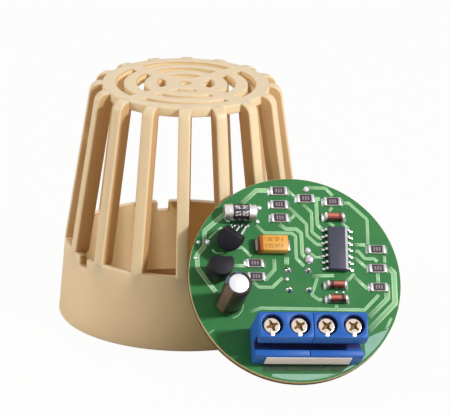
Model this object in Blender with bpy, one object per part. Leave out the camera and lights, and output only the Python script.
# Sauna humidity sensor: a vented, tapered housing standing on its base ring, with its
# round circuit board, taken out of it, leaning against the cage.
# Metres, +Z up. The origin is on the floor, under the middle of the whole.

from math import asin, atan2, cos, hypot, pi, radians, sin

import bmesh
import bpy
from mathutils import Matrix, Vector

MM = 0.001

# Housing: one moulding, a closed band, sixteen bars and a round grille on top
HOUSING_HEIGHT = 45.5 * MM
BASE_RADIUS = 23.65 * MM
BAND_HEIGHT = 14.5 * MM
BAND_TOP_RADIUS = 22.6 * MM
BAND_WALL = 1.6 * MM
BAR_COUNT = 16
BAR_WIDTH = 2.3 * MM
BAR_TOP_RADIUS = 18.3 * MM
BAR_DEPTH = 3.0 * MM
SHOULDER_RADIUS = 2.1 * MM
SHOULDER_REACH = 2.4 * MM
BAR_FOOT = 3.0 * MM
BAR_SINK = 0.06 * MM
HOUSING_TURN = radians(-2.2)
PLATE_RADIUS = BAR_TOP_RADIUS - SHOULDER_REACH
PLATE_THICKNESS = 1.8 * MM
PLATE_EDGE = 0.25 * MM
CENTRE_HOLE_RADIUS = 0.95 * MM
SLOT_RING_SHARES = (0.289, 0.541, 0.786)
SLOT_WIDTH = 1.45 * MM
SPOKE_WIDTH = 2.8 * MM
NOTCH_GAPS = (-8, -3, 2)
NOTCH_WIDTH = 2.4 * MM
NOTCH_DEPTH = 1.9 * MM

# Circuit board and how it stands
BOARD_RADIUS = 20.0 * MM
BOARD_THICKNESS = 1.6 * MM
BOARD_SIDE = radians(35.1)
BOARD_FACING = radians(9.5)
BOARD_LEAN = radians(38.9)
BOARD_TURN = radians(-3.6)
LEAN_GAP = 0.3 * MM

# Fits
SEAT_GAP = 0.06 * MM
LEAD_CLEARANCE = 0.12 * MM
RUNNING_CLEARANCE = 0.1 * MM

# Terminal blocks: two poles each, side by side, places in the board's own frame
POLE_PITCH = 5.08 * MM
POLES_PER_BLOCK = 2
BLOCK_COUNT = 2
BLOCK_CENTRE_X = 1.03 * MM
SCREW_ROW_Y = -11.95 * MM
BLOCK_HEIGHT = 9.7 * MM
BLOCK_BACK = 2.4 * MM
BLOCK_FRONT = 2.55 * MM
BLOCK_FOOT = 4.55 * MM
FRONT_LEAN = 0.25 * MM
MOUTH_TOP = 7.0 * MM
MOUTH_FLOOR = 3.0 * MM
MOUTH_DEPTH = 1.25 * MM
LIP_HEIGHT = 5.05 * MM
LIP_REACH = 0.85 * MM
LIP_LEAN = 0.4 * MM
FOOT_DROP = 0.15 * MM
WELL_RADIUS = 2.0 * MM
HEAD_RECESS = 0.83 * MM
HEAD_RADIUS = 1.65 * MM
HEAD_HEIGHT = 0.8 * MM
SHANK_RADIUS = 1.0 * MM
SCREW_EDGE = 0.15 * MM
SCREW_TURNS = (radians(21), radians(30), radians(39), radians(48))
CROSS_LENGTH = 2.0 * MM
CROSS_WIDTH = 0.45 * MM
CROSS_DEPTH = 0.5 * MM
KEEPER_WIDTH = 0.8 * MM
KEEPER_STOCK = 0.25 * MM
KEEPER_BITE = 0.2 * MM
KEEPER_OVERLAP = 0.5 * MM
SHOULDER_THICKNESS = 0.45 * MM
CAGE_WIDTH = 3.6 * MM
CAGE_SIDE = 0.5 * MM
CAGE_TOP = 0.9 * MM
CAGE_FLOOR = 0.6 * MM
CAGE_WINDOW = 2.3 * MM
CAGE_FRONT = 1.4 * MM
CAGE_BACK = 1.35 * MM
CAGE_RISE = 1.0 * MM
BAR_STOCK = 0.5 * MM
CONTACT_WIDTH = 2.3 * MM
PIN_WIDTH = 0.9 * MM
PIN_REACH = 1.4 * MM
LABEL_LENGTH = 16.0 * MM
LABEL_HEIGHT = 3.5 * MM
LABEL_THICKNESS = 0.12 * MM

# Standing electrolytic capacitor
CAN_PLACE = (-12.9 * MM, -4.9 * MM)
CAN_RADIUS = 2.45 * MM
CAN_HEIGHT = 11.0 * MM
CAN_STANDOFF = 0.9 * MM
CAN_EDGE = 0.3 * MM
CAN_LEAD_PITCH = 2.0 * MM
SLEEVE_WALL = 0.2 * MM
SLEEVE_LIP = 0.55 * MM
LEAD_RADIUS = 0.25 * MM
LEAD_REACH = 1.2 * MM

# Lying cylindrical capacitor with metal ends
LYING_PLACE = (-10.05 * MM, 12.6 * MM)
LYING_LENGTH = 6.0 * MM
LYING_RADIUS = 1.6 * MM
LYING_END_LENGTH = 1.0 * MM
LYING_END_INSET = 0.1 * MM

# Transistors with a D-shaped body
TRANSISTOR_WIDTH = 4.7 * MM
TRANSISTOR_DEPTH = 3.6 * MM
TRANSISTOR_LENGTH = 4.6 * MM
TRANSISTOR_PITCH = 1.27 * MM
TRANSISTOR_LEAD = 0.42 * MM
UPRIGHT_PLACE = (-14.7 * MM, 1.3 * MM)
UPRIGHT_TURN = radians(0.0)
UPRIGHT_STANDOFF = 1.2 * MM
BENT_HOLES_PLACE = (-9.85 * MM, 10.6 * MM)
BENT_ROW_TURN = radians(0.0)
BENT_TURN = radians(-35.0)
BENT_LEAD_RUN = 3.2 * MM
BENT_LEAD_RISE = 1.5 * MM
BENT_LEAD_STRAIGHT = 0.5 * MM
BENT_KNEE_RUN = 0.8 * MM
BENT_KNEE_RISE = 1.1 * MM
BENT_TILT = radians(58.0)

# Chip resistors, glass diodes, tantalum capacitor and logic chip
CHIP_LENGTH = 3.2 * MM
CHIP_WIDTH = 1.6 * MM
CHIP_HEIGHT = 0.6 * MM
CHIP_CAP = 0.5 * MM
CHIP_CAP_PROUD = 0.03 * MM
CHIP_PLACES = (
    (-2.32 * MM, 17.4 * MM),
    (-2.37 * MM, 14.69 * MM),
    (-2.36 * MM, 12.05 * MM),
    (2.75 * MM, 15.97 * MM),
    (7.87 * MM, 15.4 * MM),
    (15.74 * MM, 6.02 * MM),
    (15.71 * MM, 2.27 * MM),
    (15.73 * MM, -1.44 * MM),
    (-7.54 * MM, 3.09 * MM),
    (-7.41 * MM, 0.46 * MM),
)
DIODE_LENGTH = 3.7 * MM
DIODE_RADIUS = 0.8 * MM
DIODE_CAP = 0.6 * MM
DIODE_CAP_PROUD = 0.05 * MM
DIODE_PLACES = (
    (7.95 * MM, 12.29 * MM),
    (7.62 * MM, -1.11 * MM),
    (7.69 * MM, -3.86 * MM),
)
TANTALUM_PLACE = (-4.1 * MM, 6.45 * MM)
TANTALUM_LENGTH = 5.6 * MM
TANTALUM_WIDTH = 3.2 * MM
TANTALUM_HEIGHT = 2.5 * MM
TANTALUM_WAIST = 1.1 * MM
TANTALUM_DRAFT = 0.15 * MM
TANTALUM_TAB_WIDTH = 2.2 * MM
TANTALUM_TAB_STOCK = 0.2 * MM
TANTALUM_TAB_REACH = 0.5 * MM
CHIP14_PLACE = (8.25 * MM, 5.85 * MM)
CHIP14_TURN = radians(-1.5)
CHIP14_LENGTH = 8.65 * MM
CHIP14_WIDTH = 3.9 * MM
CHIP14_HEIGHT = 1.45 * MM
CHIP14_STANDOFF = 0.2 * MM
CHIP14_DRAFT = 0.2 * MM
CHIP14_PINS_A_SIDE = 7
CHIP14_PITCH = 1.27 * MM
CHIP14_SPAN = 6.0 * MM
CHIP14_LEAD_WIDTH = 0.42 * MM
CHIP14_LEAD_STOCK = 0.2 * MM
CHIP14_FOOT = 0.7 * MM

# Humidity element on the back of the board, with its pins soldered on the front
ELEMENT_CENTRE = (0.7 * MM, 0.0 * MM)
ELEMENT_PIN_HALF = 1.9 * MM
ELEMENT_PIN_RADIUS = 0.25 * MM
ELEMENT_PIN_STUB = 0.8 * MM
ELEMENT_BASE_RADIUS = 4.6 * MM
ELEMENT_BASE_HEIGHT = 1.0 * MM
ELEMENT_CAP_RADIUS = 4.1 * MM
ELEMENT_CAP_HEIGHT = 4.2 * MM
ELEMENT_CAP_WALL = 0.5 * MM
ELEMENT_VENTS = 6
ELEMENT_VENT_WIDTH = 0.8 * MM
ELEMENT_VENT_HEIGHT = 2.2 * MM
SOLDER_RADIUS = 0.75 * MM
SOLDER_HEIGHT = 0.55 * MM
SOLDER_WAIST_RADIUS = 0.54 * MM
SOLDER_WAIST_HEIGHT = 0.25 * MM
VIA_RADIUS = 0.4 * MM
VIA_PLACES = (
    (3.05 * MM, 17.9 * MM),
    (2.74 * MM, 5.77 * MM),
    (2.96 * MM, 3.98 * MM),
    (-16.1 * MM, 7.24 * MM),
)

# Facets in a full turn, and steps along shorter arcs and searches
BAND_FACETS = 96
PLATE_FACETS = 64
ROUND_FACETS = 24
SMALL_FACETS = 12
SHOULDER_STEPS = 6
SLOT_STEPS = 10
TRANSISTOR_STEPS = 12
RIM_STEPS = 360
HALVINGS = 40
OVERSHOOT = 1.0 * MM

COLOURS = {
    "sand": (0.62, 0.43, 0.24),
    "green": (0.03, 0.21, 0.08),
    "blue": (0.02, 0.12, 0.45),
    "nickel": (0.75, 0.70, 0.62),
    "brass": (0.70, 0.52, 0.25),
    "tin": (0.78, 0.78, 0.76),
    "black": (0.02, 0.018, 0.022),
    "slate": (0.07, 0.065, 0.09),
    "amber": (0.80, 0.42, 0.07),
    "rust": (0.45, 0.08, 0.02),
    "white": (0.85, 0.85, 0.83),
    "grey": (0.30, 0.30, 0.31),
}


def clear_scene():
    """Remove every object, so that the model starts from nothing."""
    for thing in list(bpy.data.objects):
        bpy.data.objects.remove(thing)


def material(name, colour, roughness, metallic):
    """A Principled material for one piece."""
    made = bpy.data.materials.new(name)
    made.use_nodes = True
    shader = made.node_tree.nodes["Principled BSDF"]
    shader.inputs["Base Color"].default_value = (*COLOURS[colour], 1.0)
    shader.inputs["Roughness"].default_value = roughness
    shader.inputs["Metallic"].default_value = metallic
    made.diffuse_color = (*COLOURS[colour], 1.0)
    return made


def add(name, mesh, look, parent=None, place=(0, 0, 0), turn=0.0):
    """Put a mesh in the scene as a named piece with its own material."""
    piece = bpy.data.objects.new(name, mesh)
    bpy.context.scene.collection.objects.link(piece)
    piece.parent = parent
    piece.location = place
    piece.rotation_euler = (0, 0, turn)
    colour, roughness, metallic = look
    mesh.materials.append(material(name, colour, roughness, metallic))
    return piece


def cutter(name, mesh, parent=None, place=(0, 0, 0), turn=0.0):
    """A tool body: it only shapes another piece."""
    tool = bpy.data.objects.new(name, mesh)
    bpy.context.scene.collection.objects.link(tool)
    tool.parent = parent
    tool.location = place
    tool.rotation_euler = (0, 0, turn)
    tool.hide_render = True
    tool.display_type = "WIRE"
    return tool


def combine(piece, tool, operation):
    """Join or cut a piece with a tool body."""
    step = piece.modifiers.new(operation.lower() + "_" + tool.name, "BOOLEAN")
    step.operation = operation
    step.object = tool
    step.solver = "EXACT"


def new_mesh(name, shape):
    """Turn a bmesh into a mesh with outward faces."""
    bmesh.ops.recalc_face_normals(shape, faces=shape.faces)
    mesh = bpy.data.meshes.new(name)
    shape.to_mesh(mesh)
    shape.free()
    return mesh


def smooth(mesh, angle=radians(35)):
    """Shade round faces smooth and keep true edges sharp."""
    mesh.shade_smooth()
    mesh.set_sharp_from_angle(angle=angle)
    return mesh


def loft_into(shape, rings):
    """Skin equal rings of points and close both ends."""
    rows = [[shape.verts.new(point) for point in ring] for ring in rings]
    count = len(rows[0])
    for near, far in zip(rows, rows[1:]):
        for i in range(count):
            j = (i + 1) % count
            shape.faces.new((near[i], near[j], far[j], far[i]))
    shape.faces.new(reversed(rows[0]))
    shape.faces.new(rows[-1])


def loft(name, rings):
    """A closed skin through rings of points."""
    shape = bmesh.new()
    loft_into(shape, rings)
    return new_mesh(name, shape)


def turned_into(shape, outline, facets, centre=(0, 0, 0)):
    """Turn an outline about the upright line through centre; on the axis it gets flat caps."""
    middle = Vector(centre)
    rows = [
        [
            shape.verts.new(middle + Vector((
                radius * cos(2 * pi * i / facets),
                radius * sin(2 * pi * i / facets),
                height,
            )))
            for i in range(facets)
        ]
        for radius, height in outline
        if radius > 0
    ]
    solid = outline[0][0] == 0
    following = rows[1:] if solid else rows[1:] + rows[:1]
    for near, far in zip(rows, following):
        for i in range(facets):
            j = (i + 1) % facets
            shape.faces.new((near[i], near[j], far[j], far[i]))
    if solid:
        shape.faces.new(reversed(rows[0]))
        shape.faces.new(rows[-1])


def turned(name, outline, facets):
    """A solid of revolution from a closed outline."""
    shape = bmesh.new()
    turned_into(shape, outline, facets)
    return new_mesh(name, shape)


def rod_outline(radius, low, high):
    """Outline of a plain rod."""
    return [(0, low), (radius, low), (radius, high), (0, high)]


def prism_into(shape, outline, low, high, frame=Matrix.Identity(4)):
    """Extrude a flat outline between two heights, in a frame."""
    rings = [[frame @ Vector((x, y, level)) for x, y in outline] for level in (low, high)]
    loft_into(shape, rings)


def prism(name, outline, low, high, frame=Matrix.Identity(4)):
    """An extruded outline as a mesh."""
    shape = bmesh.new()
    prism_into(shape, outline, low, high, frame)
    return new_mesh(name, shape)


def box_outline(x0, x1, y0, y1):
    """Corners of a rectangle."""
    return [(x0, y0), (x1, y0), (x1, y1), (x0, y1)]


def box_into(shape, x0, x1, y0, y1, z0, z1):
    """A box between two corners."""
    prism_into(shape, box_outline(x0, x1, y0, y1), z0, z1)


def box(name, x0, x1, y0, y1, z0, z1):
    """A box as a mesh."""
    shape = bmesh.new()
    box_into(shape, x0, x1, y0, y1, z0, z1)
    return new_mesh(name, shape)


def arc(centre_x, centre_y, radius, start, end, steps):
    """Points along an arc, ends included."""
    return [
        (
            centre_x + radius * cos(start + (end - start) * i / steps),
            centre_y + radius * sin(start + (end - start) * i / steps),
        )
        for i in range(steps + 1)
    ]


def sweep_into(shape, path, sides):
    """Carry a cross-section along a path of points that lie in one plane."""
    points = [Vector(point) for point in path]
    runs = [(b - a).normalized() for a, b in zip(points, points[1:])]
    across = Vector((0, 0, 1))
    for first, second in zip(runs, runs[1:]):
        if first.cross(second).length > 1e-6:
            across = first.cross(second).normalized()
            break
    rings = []
    for index, point in enumerate(points):
        before = runs[max(index - 1, 0)]
        after = runs[min(index, len(runs) - 1)]
        mitre = (before + after).normalized()
        out = mitre.cross(across)
        stretch = 1 / max(mitre.dot(after), 0.2)
        rings.append([point + across * u + out * v * stretch for u, v in sides])
    loft_into(shape, rings)


# Housing

def band_radius(height):
    """Outer radius of the closed band at a height."""
    return BASE_RADIUS + (BAND_TOP_RADIUS - BASE_RADIUS) * height / BAND_HEIGHT


def bar_radius(height):
    """How far the bars reach out at a height, below their shoulders."""
    top = HOUSING_HEIGHT - SHOULDER_RADIUS
    share = (height - BAND_HEIGHT) / (top - BAND_HEIGHT)
    return BAND_TOP_RADIUS + (BAR_TOP_RADIUS - BAND_TOP_RADIUS) * share


def envelope(height):
    """Outer reach of the housing at a height."""
    if height < BAND_HEIGHT:
        return band_radius(height)
    return bar_radius(min(height, HOUSING_HEIGHT - SHOULDER_RADIUS))


def bar_outline():
    """Side view of one bar: foot on the band's inside, slope, round shoulder, plate."""
    sink = BAR_SINK
    low = BAND_HEIGHT - BAR_FOOT
    inside_wall = band_radius(low) - BAND_WALL / 2
    slope = atan2(BAND_TOP_RADIUS - BAR_TOP_RADIUS, HOUSING_HEIGHT - SHOULDER_RADIUS - BAND_HEIGHT)
    centre_x = BAR_TOP_RADIUS - SHOULDER_RADIUS
    centre_z = HOUSING_HEIGHT - SHOULDER_RADIUS - sink
    under_plate = HOUSING_HEIGHT - PLATE_THICKNESS
    return [
        (inside_wall, low),
        (BAND_TOP_RADIUS - sink, BAND_HEIGHT),
        *arc(centre_x, centre_z, SHOULDER_RADIUS, slope, pi / 2, SHOULDER_STEPS),
        (PLATE_RADIUS - BAND_WALL / 2, HOUSING_HEIGHT - sink),
        (PLATE_RADIUS - BAND_WALL / 2, under_plate - sink),
        (BAND_TOP_RADIUS - BAR_DEPTH, BAND_HEIGHT),
    ]


def bars_mesh():
    """All the bars, each an upright outline given its width and turned into place."""
    shape = bmesh.new()
    stand_up = Matrix.Rotation(pi / 2, 4, "X")
    for index in range(BAR_COUNT):
        around = Matrix.Rotation(2 * pi * index / BAR_COUNT, 4, "Z")
        prism_into(shape, bar_outline(), -BAR_WIDTH / 2, BAR_WIDTH / 2, around @ stand_up)
    return new_mesh("bars", shape)


def slot_outline(radius, quarter):
    """One curved slot: a ring's share between two straight spokes."""
    points = []
    for edge, direction in ((radius - SLOT_WIDTH / 2, 1), (radius + SLOT_WIDTH / 2, -1)):
        half = pi / 4 - asin(SPOKE_WIDTH / 2 / edge)
        middle = quarter * pi / 2
        start = middle - direction * half
        points += arc(0, 0, edge, start, start + 2 * direction * half, SLOT_STEPS)
    return points


def grille_cutter():
    """The centre hole and three rings of curved slots."""
    low = HOUSING_HEIGHT - PLATE_THICKNESS - OVERSHOOT
    high = HOUSING_HEIGHT + OVERSHOOT
    shape = bmesh.new()
    turned_into(shape, rod_outline(CENTRE_HOLE_RADIUS, low, high), SMALL_FACETS)
    for share in SLOT_RING_SHARES:
        radius = share * PLATE_RADIUS
        for quarter in range(4):
            prism_into(shape, slot_outline(radius, quarter), low, high)
    return new_mesh("grille", shape)


def notch_cutter():
    """Snap notches in the band's top edge, each in the middle of a gap between bars."""
    shape = bmesh.new()
    for gap in NOTCH_GAPS:
        angle = -pi / 2 + 2 * pi * (gap + 0.5) / BAR_COUNT
        facing = Matrix.Rotation(angle, 4, "Z") @ Matrix.Rotation(pi / 2, 4, "Z")
        facing = facing @ Matrix.Rotation(pi / 2, 4, "X")
        half = NOTCH_WIDTH / 2
        outline = box_outline(-half, half, BAND_HEIGHT - NOTCH_DEPTH, BAND_HEIGHT + OVERSHOOT)
        inner = BAND_TOP_RADIUS - BAND_WALL - OVERSHOOT
        prism_into(shape, outline, inner, BASE_RADIUS + OVERSHOOT, facing)
    return new_mesh("notches", shape)


def vented_housing(world):
    """Band, plate and bars as one moulding."""
    shape = bmesh.new()
    band = [
        (BASE_RADIUS, 0),
        (BAND_TOP_RADIUS, BAND_HEIGHT),
        (BAND_TOP_RADIUS - BAND_WALL, BAND_HEIGHT),
        (BASE_RADIUS - BAND_WALL, 0),
    ]
    turned_into(shape, band, BAND_FACETS)
    plate = [
        (0, HOUSING_HEIGHT - PLATE_THICKNESS),
        (PLATE_RADIUS, HOUSING_HEIGHT - PLATE_THICKNESS),
        (PLATE_RADIUS, HOUSING_HEIGHT - PLATE_EDGE),
        (PLATE_RADIUS - PLATE_EDGE, HOUSING_HEIGHT),
        (0, HOUSING_HEIGHT),
    ]
    turned_into(shape, plate, PLATE_FACETS)
    housing = add(
        "vented_housing", new_mesh("vented_housing", shape), ("sand", 0.42, 0.0), world,
        turn=HOUSING_TURN,
    )
    combine(housing, cutter("bars", bars_mesh(), world, turn=HOUSING_TURN), "UNION")
    combine(housing, cutter("grille", grille_cutter(), world, turn=HOUSING_TURN), "DIFFERENCE")
    combine(housing, cutter("notches", notch_cutter(), world, turn=HOUSING_TURN), "DIFFERENCE")
    return housing


# Circuit board and its place

def board_axes():
    """The leaning board's own axes: right, up along the board, and out of its face."""
    facing = Vector((
        sin(BOARD_FACING) * cos(BOARD_LEAN),
        -cos(BOARD_FACING) * cos(BOARD_LEAN),
        sin(BOARD_LEAN),
    ))
    level = Vector((cos(BOARD_FACING), sin(BOARD_FACING), 0))
    up = facing.cross(level)
    right = level * cos(BOARD_TURN) + up * sin(BOARD_TURN)
    return right, facing.cross(right), facing


def board_centre(distance):
    """Centre of the board's back face when its rim stands on the floor."""
    return Vector((
        distance * sin(BOARD_SIDE),
        -distance * cos(BOARD_SIDE),
        BOARD_RADIUS * cos(BOARD_LEAN),
    ))


def lean_gap(distance):
    """Smallest gap between the board's back rim and the housing."""
    right, up, facing = board_axes()
    centre = board_centre(distance)
    gaps = []
    for step in range(RIM_STEPS):
        angle = 2 * pi * step / RIM_STEPS
        point = centre + BOARD_RADIUS * (right * cos(angle) + up * sin(angle))
        gaps.append(hypot(point.x, point.y) - envelope(point.z))
    return min(gaps)


def lean_distance():
    """How far out the board stands, so that it leans on the cage."""
    near = BASE_RADIUS
    far = BASE_RADIUS + 3 * BOARD_RADIUS
    for _ in range(HALVINGS):
        middle = (near + far) / 2
        if lean_gap(middle) < LEAN_GAP:
            near = middle
        else:
            far = middle
    return far


def board_frame(world):
    """An empty at the middle of the board's front face."""
    right, up, facing = board_axes()
    frame = bpy.data.objects.new("board_frame", None)
    bpy.context.scene.collection.objects.link(frame)
    frame.parent = world
    turn = Matrix((right, up, facing)).transposed().to_4x4()
    centre = board_centre(lean_distance()) + facing * BOARD_THICKNESS
    frame.matrix_local = Matrix.Translation(centre) @ turn
    return frame


def element_pins():
    """Places of the humidity element's four pins."""
    x, y = ELEMENT_CENTRE
    half = ELEMENT_PIN_HALF
    return [(x + i * half, y + j * half) for i in (-1, 1) for j in (-1, 1)]


def pole_places():
    """Places of the four terminal screws, left to right."""
    poles = POLES_PER_BLOCK * BLOCK_COUNT
    return [BLOCK_CENTRE_X + (index - (poles - 1) / 2) * POLE_PITCH for index in range(poles)]


def turned_offset(place, turn, along, out):
    """A place shifted in a turned frame."""
    x, y = place
    return (x + along * cos(turn) - out * sin(turn), y + along * sin(turn) + out * cos(turn))


def transistor_holes(place, turn):
    """Places of a transistor's three leads."""
    return [turned_offset(place, turn, step * TRANSISTOR_PITCH, 0) for step in (-1, 0, 1)]


def can_holes():
    """Places of the standing capacitor's two leads."""
    x, y = CAN_PLACE
    return [(x + side * CAN_LEAD_PITCH / 2, y) for side in (-1, 1)]


def pin_row_y():
    """Where the terminal pins pass through the board, behind the cages."""
    return SCREW_ROW_Y + CAGE_BACK + RUNNING_CLEARANCE + BAR_STOCK / 2


def circuit_board(frame):
    """A round laminate disc, drilled for every lead."""
    shape = bmesh.new()
    holes = [(place, ELEMENT_PIN_RADIUS) for place in element_pins()]
    holes += [(place, LEAD_RADIUS) for place in can_holes()]
    lead_corner = hypot(TRANSISTOR_LEAD, TRANSISTOR_LEAD) / 2
    for place, turn in ((UPRIGHT_PLACE, UPRIGHT_TURN), (BENT_HOLES_PLACE, BENT_ROW_TURN)):
        holes += [(hole, lead_corner) for hole in transistor_holes(place, turn)]
    pin_corner = hypot(PIN_WIDTH, BAR_STOCK) / 2
    holes += [((x, pin_row_y()), pin_corner) for x in pole_places()]
    drills = [(place, radius + LEAD_CLEARANCE) for place, radius in holes]
    drills += [(place, VIA_RADIUS) for place in VIA_PLACES]
    for (x, y), radius in drills:
        outline = rod_outline(radius, -BOARD_THICKNESS - OVERSHOOT, OVERSHOOT)
        turned_into(shape, outline, SMALL_FACETS, (x, y, 0))
    tool = cutter("drills", new_mesh("drills", shape), frame)
    outline = rod_outline(BOARD_RADIUS, -BOARD_THICKNESS, 0)
    mesh = smooth(turned("circuit_board", outline, BAND_FACETS))
    board = add("circuit_board", mesh, ("green", 0.35, 0.0), frame)
    combine(board, tool, "DIFFERENCE")
    return board


# Terminal blocks

def head_top():
    """Height of a screw head's face above the board."""
    return BLOCK_HEIGHT - HEAD_RECESS


def well_floor():
    """Height of the shoulder under the screw heads."""
    return head_top() - HEAD_HEIGHT - RUNNING_CLEARANCE


def chamber_top():
    """Ceiling of the space that the cages rise in."""
    return well_floor() - SHOULDER_THICKNESS


def cage_top():
    """Top of a cage in its lowest place."""
    return chamber_top() - RUNNING_CLEARANCE - CAGE_RISE


def contact_top():
    """Top of the contact bar, just under the raised cage's threaded top."""
    return cage_top() - CAGE_TOP - RUNNING_CLEARANCE


def keeper_floor():
    """Underside of a keeper, just over the turning screw head."""
    return head_top() + RUNNING_CLEARANCE


def keeper_reach():
    """How far a keeper reaches out from the screw's axis, into its notch."""
    return WELL_RADIUS + KEEPER_BITE


def block_outline():
    """Side view of a block: back, top, the wires' sloping mouth and the foot with its label."""
    front = -BLOCK_FRONT
    inner = front + MOUTH_DEPTH
    lip = front - LIP_REACH
    return [
        (BLOCK_BACK, SEAT_GAP),
        (BLOCK_BACK, BLOCK_HEIGHT),
        (front, BLOCK_HEIGHT),
        (front - FRONT_LEAN, MOUTH_TOP),
        (inner, MOUTH_TOP),
        (inner, MOUTH_FLOOR),
        (lip + LIP_LEAN, MOUTH_FLOOR),
        (lip, LIP_HEIGHT),
        (-BLOCK_FOOT, LIP_HEIGHT - FOOT_DROP),
        (-BLOCK_FOOT, SEAT_GAP),
    ]


def along_block():
    """A frame in which (depth, height) outlines are extruded along the block."""
    return Matrix(((0, 0, 1, 0), (1, 0, 0, 0), (0, 1, 0, 0), (0, 0, 0, 1)))


def terminal_block(name, frame, centre_x):
    """One two-pole block, hollowed for its cages, screws and contact bars."""
    half = POLE_PITCH * POLES_PER_BLOCK / 2 - SEAT_GAP / 2
    body = prism(name, block_outline(), -half, half, along_block())
    block = add(name, body, ("blue", 0.4, 0.0), frame, (centre_x, SCREW_ROW_Y, 0))
    chamber_half = CAGE_WIDTH / 2 + RUNNING_CLEARANCE
    chamber_front = -CAGE_FRONT - RUNNING_CLEARANCE
    chamber_back = CAGE_BACK + BAR_STOCK + 2 * RUNNING_CLEARANCE
    hollow = bmesh.new()
    wells = bmesh.new()
    notches = bmesh.new()
    for pole in range(POLES_PER_BLOCK):
        x = (pole - (POLES_PER_BLOCK - 1) / 2) * POLE_PITCH
        box_into(
            hollow, x - chamber_half, x + chamber_half, chamber_front, chamber_back,
            -OVERSHOOT, chamber_top(),
        )
        bore = SHANK_RADIUS + RUNNING_CLEARANCE
        steps = [
            (0, chamber_top() - OVERSHOOT / 2),
            (bore, chamber_top() - OVERSHOOT / 2),
            (bore, well_floor()),
            (WELL_RADIUS, well_floor()),
            (WELL_RADIUS, BLOCK_HEIGHT + OVERSHOOT),
            (0, BLOCK_HEIGHT + OVERSHOOT),
        ]
        turned_into(wells, steps, ROUND_FACETS, (x, 0, 0))
        notch_half = KEEPER_WIDTH / 2 + SEAT_GAP
        box_into(
            notches, x - notch_half, x + notch_half, -keeper_reach() - SEAT_GAP, 0,
            keeper_floor() - SEAT_GAP, BLOCK_HEIGHT + OVERSHOOT,
        )
    for label, shape in (("chambers", hollow), ("wells", wells), ("notches", notches)):
        tool_name = name + "_" + label
        tool = cutter(tool_name, new_mesh(tool_name, shape), frame, (centre_x, SCREW_ROW_Y, 0))
        combine(block, tool, "DIFFERENCE")
    return block


def screw_mesh():
    """A short screw with a flat head, origin at the head's face."""
    under = -HEAD_HEIGHT
    tip = contact_top() + RUNNING_CLEARANCE - head_top()
    edge = SCREW_EDGE
    outline = [
        (0, tip),
        (SHANK_RADIUS - edge, tip),
        (SHANK_RADIUS, tip + edge),
        (SHANK_RADIUS, under),
        (HEAD_RADIUS, under),
        (HEAD_RADIUS, -edge),
        (HEAD_RADIUS - edge, 0),
        (0, 0),
    ]
    return smooth(turned("terminal_screw", outline, ROUND_FACETS))


def cross_mesh(name, turn):
    """The driver recess: two crossed slots."""
    shape = bmesh.new()
    long = CROSS_LENGTH / 2
    thin = CROSS_WIDTH / 2
    outline = [
        (long, -thin), (long, thin), (thin, thin), (thin, long),
        (-thin, long), (-thin, thin), (-long, thin), (-long, -thin),
        (-thin, -thin), (-thin, -long), (thin, -long), (thin, -thin),
    ]
    prism_into(shape, outline, -CROSS_DEPTH, OVERSHOOT, Matrix.Rotation(turn, 4, "Z"))
    return new_mesh(name, shape)


def terminal_screw(index, frame, x, turn):
    """One clamping screw, its origin on its own axis."""
    name = "terminal_screw_%d" % index
    place = (x, SCREW_ROW_Y, head_top())
    screw = add(name, screw_mesh(), ("nickel", 0.3, 1.0), frame, place)
    tool_name = name + "_recess"
    tool = cutter(tool_name, cross_mesh(tool_name, turn), frame, place)
    combine(screw, tool, "DIFFERENCE")
    return screw


def screw_keeper(index, frame, x):
    """A metal tongue in the well's notch that holds the screw head down."""
    name = "screw_keeper_%d" % index
    half = KEEPER_WIDTH / 2
    low = keeper_floor()
    inner = KEEPER_OVERLAP - HEAD_RADIUS
    tongue = box(name, -half, half, -keeper_reach(), inner, low, low + KEEPER_STOCK)
    return add(name, tongue, ("nickel", 0.3, 1.0), frame, (x, SCREW_ROW_Y, 0))


def clamp_cage(index, frame, x):
    """A box frame, open front and back, threaded on the screw; its origin is its floor."""
    name = "clamp_cage_%d" % index
    high = CAGE_TOP + CAGE_WINDOW + CAGE_FLOOR
    half = CAGE_WIDTH / 2
    window = half - CAGE_SIDE
    body = box(name, -half, half, -CAGE_FRONT, CAGE_BACK, 0, high)
    place = (x, SCREW_ROW_Y, cage_top() - high)
    cage = add(name, body, ("brass", 0.35, 1.0), frame, place)
    opening = box(
        name + "_window", -window, window, -CAGE_FRONT - OVERSHOOT, CAGE_BACK + OVERSHOOT,
        CAGE_FLOOR, CAGE_FLOOR + CAGE_WINDOW,
    )
    combine(cage, cutter(name + "_window", opening, frame, place), "DIFFERENCE")
    thread = rod_outline(
        SHANK_RADIUS + RUNNING_CLEARANCE, CAGE_FLOOR + CAGE_WINDOW / 2, high + OVERSHOOT,
    )
    bore = turned(name + "_thread", thread, ROUND_FACETS)
    combine(cage, cutter(name + "_thread", bore, frame, place), "DIFFERENCE")
    return cage


def terminal_pin(index, frame, x):
    """A contact bar through the cage, bent down at the back into a solder pin."""
    name = "terminal_pin_%d" % index
    top = contact_top()
    back = CAGE_BACK + RUNNING_CLEARANCE
    bar = box(
        name, -CONTACT_WIDTH / 2, CONTACT_WIDTH / 2, -CAGE_FRONT, back + BAR_STOCK,
        top - BAR_STOCK, top,
    )
    pin = add(name, bar, ("tin", 0.3, 1.0), frame, (x, SCREW_ROW_Y, 0))
    leg = box(
        name + "_leg", -PIN_WIDTH / 2, PIN_WIDTH / 2, back, back + BAR_STOCK,
        -BOARD_THICKNESS - PIN_REACH, top - BAR_STOCK / 2,
    )
    combine(pin, cutter(name + "_leg", leg, frame, (x, SCREW_ROW_Y, 0)), "UNION")
    return pin


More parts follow.
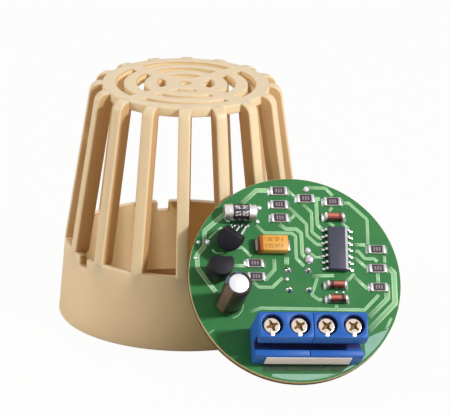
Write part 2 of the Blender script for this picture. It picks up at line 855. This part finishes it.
def label_strip(frame):
    """A bare strip on the blocks' upright foot."""
    low = (LIP_HEIGHT - FOOT_DROP + SEAT_GAP - LABEL_HEIGHT) / 2
    strip = box(
        "label_strip", -LABEL_LENGTH / 2, LABEL_LENGTH / 2, -SEAT_GAP - LABEL_THICKNESS, -SEAT_GAP,
        low, low + LABEL_HEIGHT,
    )
    place = (BLOCK_CENTRE_X, SCREW_ROW_Y - BLOCK_FOOT, 0)
    return add("label_strip", strip, ("white", 0.5, 0.0), frame, place)


def terminals(frame):
    """Both blocks with everything in them."""
    span = POLE_PITCH * POLES_PER_BLOCK
    names = ("left", "right")
    for index, side in enumerate(names):
        centre = BLOCK_CENTRE_X + (index - (BLOCK_COUNT - 1) / 2) * span
        terminal_block("terminal_block_" + side, frame, centre)
    for index, x in enumerate(pole_places(), start=1):
        terminal_screw(index, frame, x, SCREW_TURNS[index - 1])
        screw_keeper(index, frame, x)
        clamp_cage(index, frame, x)
        terminal_pin(index, frame, x)
    label_strip(frame)


# Capacitors

def standing_capacitor(frame):
    """An aluminium can with its leads, and the shrunk sleeve round it."""
    x, y = CAN_PLACE
    radius = CAN_RADIUS - SLEEVE_WALL - SEAT_GAP
    low = CAN_STANDOFF
    high = CAN_STANDOFF + CAN_HEIGHT
    edge = CAN_EDGE
    can = turned("electrolytic_can", [
        (0, low),
        (radius - edge, low),
        (radius, low + edge),
        (radius, high - edge),
        (radius - edge, high),
        (0, high),
    ], ROUND_FACETS)
    can = add("electrolytic_can", smooth(can), ("tin", 0.3, 1.0), frame, (x, y, 0))
    leads = bmesh.new()
    for side in (-1, 1):
        outline = rod_outline(LEAD_RADIUS, -BOARD_THICKNESS - LEAD_REACH, low + edge)
        turned_into(leads, outline, SMALL_FACETS, (side * CAN_LEAD_PITCH / 2, 0, 0))
    tool = cutter("electrolytic_leads", new_mesh("electrolytic_leads", leads), frame, (x, y, 0))
    combine(can, tool, "UNION")
    inner = radius + SEAT_GAP
    lip = CAN_RADIUS - SLEEVE_LIP
    sleeve = turned("electrolytic_sleeve", [
        (inner, low),
        (CAN_RADIUS, low),
        (CAN_RADIUS, high + SEAT_GAP),
        (CAN_RADIUS - SLEEVE_WALL, high + SEAT_GAP + SLEEVE_WALL),
        (lip, high + SEAT_GAP + SLEEVE_WALL),
        (lip, high + SEAT_GAP),
        (inner, high + SEAT_GAP),
    ], ROUND_FACETS)
    add("electrolytic_sleeve", smooth(sleeve), ("black", 0.35, 0.0), frame, (x, y, 0))


def lying_capacitor(frame):
    """A cylinder on its side, with a metal cap at each end."""
    end = LYING_LENGTH / 2
    cap = end - LYING_END_LENGTH
    small = LYING_RADIUS - LYING_END_INSET
    outline = [
        (0, -end), (small, -end), (small, -cap), (LYING_RADIUS, -cap),
        (LYING_RADIUS, cap), (small, cap), (small, end), (0, end),
    ]
    body = smooth(turned("lying_capacitor", outline, ROUND_FACETS))
    body.transform(Matrix.Rotation(pi / 2, 4, "Y"))
    x, y = LYING_PLACE
    place = (x, y, LYING_RADIUS + SEAT_GAP)
    add("lying_capacitor", body, ("black", 0.35, 0.0), frame, place)


def tantalum_capacitor(frame):
    """A moulded block with a metal tab folded under each end."""
    half = TANTALUM_LENGTH / 2
    wide = TANTALUM_WIDTH / 2
    top = TANTALUM_HEIGHT
    waist = TANTALUM_WAIST
    draft = TANTALUM_DRAFT
    low = SEAT_GAP + TANTALUM_TAB_STOCK
    rings = []
    for level, inset in ((low, draft), (waist, 0), (top, draft)):
        x = half - inset
        y = wide - inset
        rings.append([(-x, -y, level), (x, -y, level), (x, y, level), (-x, y, level)])
    body = loft("tantalum_capacitor", rings)
    px, py = TANTALUM_PLACE
    capacitor = add("tantalum_capacitor", body, ("amber", 0.45, 0.0), frame, (px, py, 0))
    tabs = bmesh.new()
    for side in (-1, 1):
        tip = half + TANTALUM_TAB_REACH
        outline = [
            (side * (half - OVERSHOOT), SEAT_GAP),
            (side * tip, SEAT_GAP),
            (side * tip, waist),
            (side * (half - 2 * draft), waist),
            (side * (half - 2 * draft), waist - TANTALUM_TAB_STOCK),
            (side * (tip - TANTALUM_TAB_STOCK), waist - TANTALUM_TAB_STOCK),
            (side * (tip - TANTALUM_TAB_STOCK), low + draft),
            (side * (half - OVERSHOOT), low + draft),
        ]
        stand_up = Matrix.Rotation(pi / 2, 4, "X")
        prism_into(tabs, outline, -TANTALUM_TAB_WIDTH / 2, TANTALUM_TAB_WIDTH / 2, stand_up)
    tool = cutter("tantalum_tabs", new_mesh("tantalum_tabs", tabs), frame, (px, py, 0))
    combine(capacitor, tool, "UNION")


# Transistors

def transistor_outline():
    """A D: flat on one side, round on the other, centred on the lead row."""
    half = TRANSISTOR_WIDTH / 2
    flat = TRANSISTOR_DEPTH - half
    edge = asin(flat / half)
    return arc(0, 0, half, edge, -pi - edge, TRANSISTOR_STEPS)


def transistor_body(name, low):
    """The moulded case, from its lead end upwards."""
    return prism(name, transistor_outline(), low, low + TRANSISTOR_LENGTH)


def square_section():
    """Cross-section of a transistor lead."""
    half = TRANSISTOR_LEAD / 2
    return [(-half, -half), (half, -half), (half, half), (-half, half)]


def upright_transistor(frame):
    """Transistor standing on three straight leads."""
    name = "transistor_upright"
    x, y = UPRIGHT_PLACE
    body = smooth(transistor_body(name, UPRIGHT_STANDOFF))
    piece = add(name, body, ("black", 0.5, 0.0), frame, (x, y, 0), UPRIGHT_TURN)
    leads = bmesh.new()
    for step in (-1, 0, 1):
        middle = step * TRANSISTOR_PITCH
        half = TRANSISTOR_LEAD / 2
        box_into(
            leads, middle - half, middle + half, -half, half,
            -BOARD_THICKNESS - LEAD_REACH, UPRIGHT_STANDOFF + half,
        )
    tool = cutter(name + "_leads", new_mesh(name + "_leads", leads), frame, (x, y, 0), UPRIGHT_TURN)
    combine(piece, tool, "UNION")


def bent_transistor(frame):
    """Transistor leaning over on bent leads, its flat side towards its holes."""
    name = "transistor_bent"
    x, y = BENT_HOLES_PLACE
    lead_end = Vector((0, -BENT_LEAD_RUN, BENT_LEAD_RISE))
    lay = Matrix.Translation(lead_end) @ Matrix.Rotation(pi / 2 - BENT_TILT, 4, "X")
    body = transistor_body(name, 0)
    body.transform(lay)
    piece = add(name, smooth(body), ("black", 0.5, 0.0), frame, (x, y, 0), BENT_TURN)
    into_body = Vector((0, -cos(BENT_TILT), sin(BENT_TILT))) * TRANSISTOR_LEAD
    leads = bmesh.new()
    row_turn = Matrix.Rotation(BENT_ROW_TURN - BENT_TURN, 3, "Z")
    for step in (-1, 0, 1):
        across = Vector((step * TRANSISTOR_PITCH, 0, 0))
        hole = row_turn @ across
        path = [
            hole + Vector((0, 0, -BOARD_THICKNESS - LEAD_REACH)),
            hole + Vector((0, 0, BENT_LEAD_STRAIGHT)),
            hole + Vector((0, -BENT_KNEE_RUN, BENT_KNEE_RISE)),
            across + lead_end - into_body,
            across + lead_end + into_body,
        ]
        sweep_into(leads, path, square_section())
    tool = cutter(name + "_leads", new_mesh(name + "_leads", leads), frame, (x, y, 0), BENT_TURN)
    combine(piece, tool, "UNION")


# Small parts on the board's face

def rectangle_ring(x, half_width, low, high):
    """A rectangle across the x axis."""
    return [
        (x, -half_width, low),
        (x, half_width, low),
        (x, half_width, high),
        (x, -half_width, high),
    ]


def chip_mesh():
    """A chip resistor: a flat block with thicker metal ends."""
    end = CHIP_LENGTH / 2
    cap = end - CHIP_CAP
    wide = CHIP_WIDTH / 2
    low = SEAT_GAP
    high = SEAT_GAP + CHIP_HEIGHT
    thin = CHIP_CAP_PROUD
    rings = [
        rectangle_ring(-end, wide, low, high),
        rectangle_ring(-cap, wide, low, high),
        rectangle_ring(-cap, wide - thin, low + thin, high - thin),
        rectangle_ring(cap, wide - thin, low + thin, high - thin),
        rectangle_ring(cap, wide, low, high),
        rectangle_ring(end, wide, low, high),
    ]
    return loft("chip_resistor", rings)


def diode_mesh():
    """A glass diode: a small rod with a metal cap at each end."""
    end = DIODE_LENGTH / 2
    cap = end - DIODE_CAP
    glass = DIODE_RADIUS - DIODE_CAP_PROUD
    outline = [
        (0, -end), (DIODE_RADIUS, -end), (DIODE_RADIUS, -cap), (glass, -cap),
        (glass, cap), (DIODE_RADIUS, cap), (DIODE_RADIUS, end), (0, end),
    ]
    mesh = smooth(turned("glass_diode", outline, 2 * SMALL_FACETS))
    mesh.transform(Matrix.Rotation(pi / 2, 4, "Y"))
    return mesh


def logic_chip(frame):
    """The fourteen-pin chip with its folded leads."""
    low = CHIP14_STANDOFF
    top = CHIP14_STANDOFF + CHIP14_HEIGHT
    waist = (low + top) / 2
    rings = []
    for level, inset in ((low, CHIP14_DRAFT), (waist, 0), (top, CHIP14_DRAFT)):
        x = CHIP14_WIDTH / 2 - inset
        y = CHIP14_LENGTH / 2 - inset
        rings.append([(-x, -y, level), (x, -y, level), (x, y, level), (-x, y, level)])
    px, py = CHIP14_PLACE
    chip = add(
        "logic_chip", loft("logic_chip", rings), ("slate", 0.45, 0.0), frame, (px, py, 0),
        CHIP14_TURN,
    )
    leads = bmesh.new()
    stock = CHIP14_LEAD_STOCK
    for side in (-1, 1):
        tip = CHIP14_SPAN / 2
        knee = tip - CHIP14_FOOT
        root = CHIP14_WIDTH / 2 - 2 * stock
        outline = [
            (side * tip, SEAT_GAP),
            (side * tip, SEAT_GAP + stock),
            (side * (knee + stock / 2), SEAT_GAP + stock),
            (side * (knee + stock / 4), waist + stock / 2),
            (side * root, waist + stock / 2),
            (side * root, waist - stock / 2),
            (side * (knee - 3 * stock / 4), waist - stock / 2),
            (side * (knee - stock / 2), SEAT_GAP),
        ]
        stand_up = Matrix.Rotation(pi / 2, 4, "X")
        for pin in range(CHIP14_PINS_A_SIDE):
            y = (pin - (CHIP14_PINS_A_SIDE - 1) / 2) * CHIP14_PITCH
            half = CHIP14_LEAD_WIDTH / 2
            prism_into(leads, outline, y - half, y + half, stand_up)
    tool = cutter(
        "logic_chip_leads", new_mesh("logic_chip_leads", leads), frame, (px, py, 0), CHIP14_TURN,
    )
    combine(chip, tool, "UNION")


def small_parts(frame):
    """Ten chip resistors, three diodes and the logic chip."""
    for index, (x, y) in enumerate(CHIP_PLACES, start=1):
        name = "chip_resistor_%d" % index
        add(name, chip_mesh(), ("black", 0.4, 0.0), frame, (x, y, 0))
    for index, (x, y) in enumerate(DIODE_PLACES, start=1):
        name = "glass_diode_%d" % index
        place = (x, y, DIODE_RADIUS + SEAT_GAP)
        add(name, diode_mesh(), ("rust", 0.15, 0.0), frame, place)
    logic_chip(frame)


# Humidity element behind the board

def humidity_element(frame):
    """A round base with four soldered pins, and a vented cap over it."""
    x, y = ELEMENT_CENTRE
    back = -BOARD_THICKNESS - SEAT_GAP
    floor = back - ELEMENT_BASE_HEIGHT
    outline = rod_outline(ELEMENT_BASE_RADIUS, floor, back)
    base = add(
        "humidity_element", smooth(turned("humidity_element", outline, 2 * ROUND_FACETS)),
        ("grey", 0.5, 0.0), frame, (x, y, 0),
    )
    pins = bmesh.new()
    for px, py in element_pins():
        joint = [
            (0, floor + ELEMENT_BASE_HEIGHT / 2),
            (ELEMENT_PIN_RADIUS, floor + ELEMENT_BASE_HEIGHT / 2),
            (ELEMENT_PIN_RADIUS, SEAT_GAP),
            (SOLDER_RADIUS, SEAT_GAP),
            (SOLDER_WAIST_RADIUS, SOLDER_WAIST_HEIGHT),
            (ELEMENT_PIN_RADIUS, SOLDER_HEIGHT),
            (ELEMENT_PIN_RADIUS, ELEMENT_PIN_STUB),
            (0, ELEMENT_PIN_STUB),
        ]
        turned_into(pins, joint, SMALL_FACETS, (px - x, py - y, 0))
    tool = cutter("element_pins", new_mesh("element_pins", pins), frame, (x, y, 0))
    combine(base, tool, "UNION")
    top = floor - SEAT_GAP
    end = top - ELEMENT_CAP_HEIGHT
    inner = ELEMENT_CAP_RADIUS - ELEMENT_CAP_WALL
    cap = turned("humidity_element_cap", [
        (0, end),
        (ELEMENT_CAP_RADIUS, end),
        (ELEMENT_CAP_RADIUS, top),
        (inner, top),
        (inner, end + ELEMENT_CAP_WALL),
        (0, end + ELEMENT_CAP_WALL),
    ], 2 * ROUND_FACETS)
    cap = add("humidity_element_cap", smooth(cap), ("white", 0.5, 0.0), frame, (x, y, 0))
    vents = bmesh.new()
    middle = (top + end) / 2
    for index in range(ELEMENT_VENTS // 2):
        turn = Matrix.Rotation(pi * index / (ELEMENT_VENTS // 2), 4, "Z")
        half = ELEMENT_VENT_WIDTH / 2
        reach = ELEMENT_CAP_RADIUS + OVERSHOOT
        for side in (-1, 1):
            outline = box_outline(side * inner / 2, side * reach, -half, half)
            low = middle - ELEMENT_VENT_HEIGHT / 2
            prism_into(vents, outline, low, low + ELEMENT_VENT_HEIGHT, turn)
    tool = cutter("element_vents", new_mesh("element_vents", vents), frame, (x, y, 0))
    combine(cap, tool, "DIFFERENCE")


def centre_over_origin(world):
    """Shift everything so that the origin is under the middle of the box round it."""
    bpy.context.view_layer.update()
    graph = bpy.context.evaluated_depsgraph_get()
    corners = []
    for thing in bpy.data.objects:
        if thing.type == "MESH" and not thing.hide_render:
            seen = thing.evaluated_get(graph)
            corners += [seen.matrix_world @ vertex.co for vertex in seen.data.vertices]
    for axis in (0, 1):
        values = [corner[axis] for corner in corners]
        world.location[axis] -= (min(values) + max(values)) / 2
    world.location[2] -= min(corner[2] for corner in corners)
    bpy.context.view_layer.update()


def main():
    """Build the whole sensor."""
    clear_scene()
    world = bpy.data.objects.new("sensor", None)
    bpy.context.scene.collection.objects.link(world)
    vented_housing(world)
    frame = board_frame(world)
    circuit_board(frame)
    terminals(frame)
    standing_capacitor(frame)
    lying_capacitor(frame)
    tantalum_capacitor(frame)
    upright_transistor(frame)
    bent_transistor(frame)
    small_parts(frame)
    humidity_element(frame)
    centre_over_origin(world)


if __name__ == "__main__":
    main()
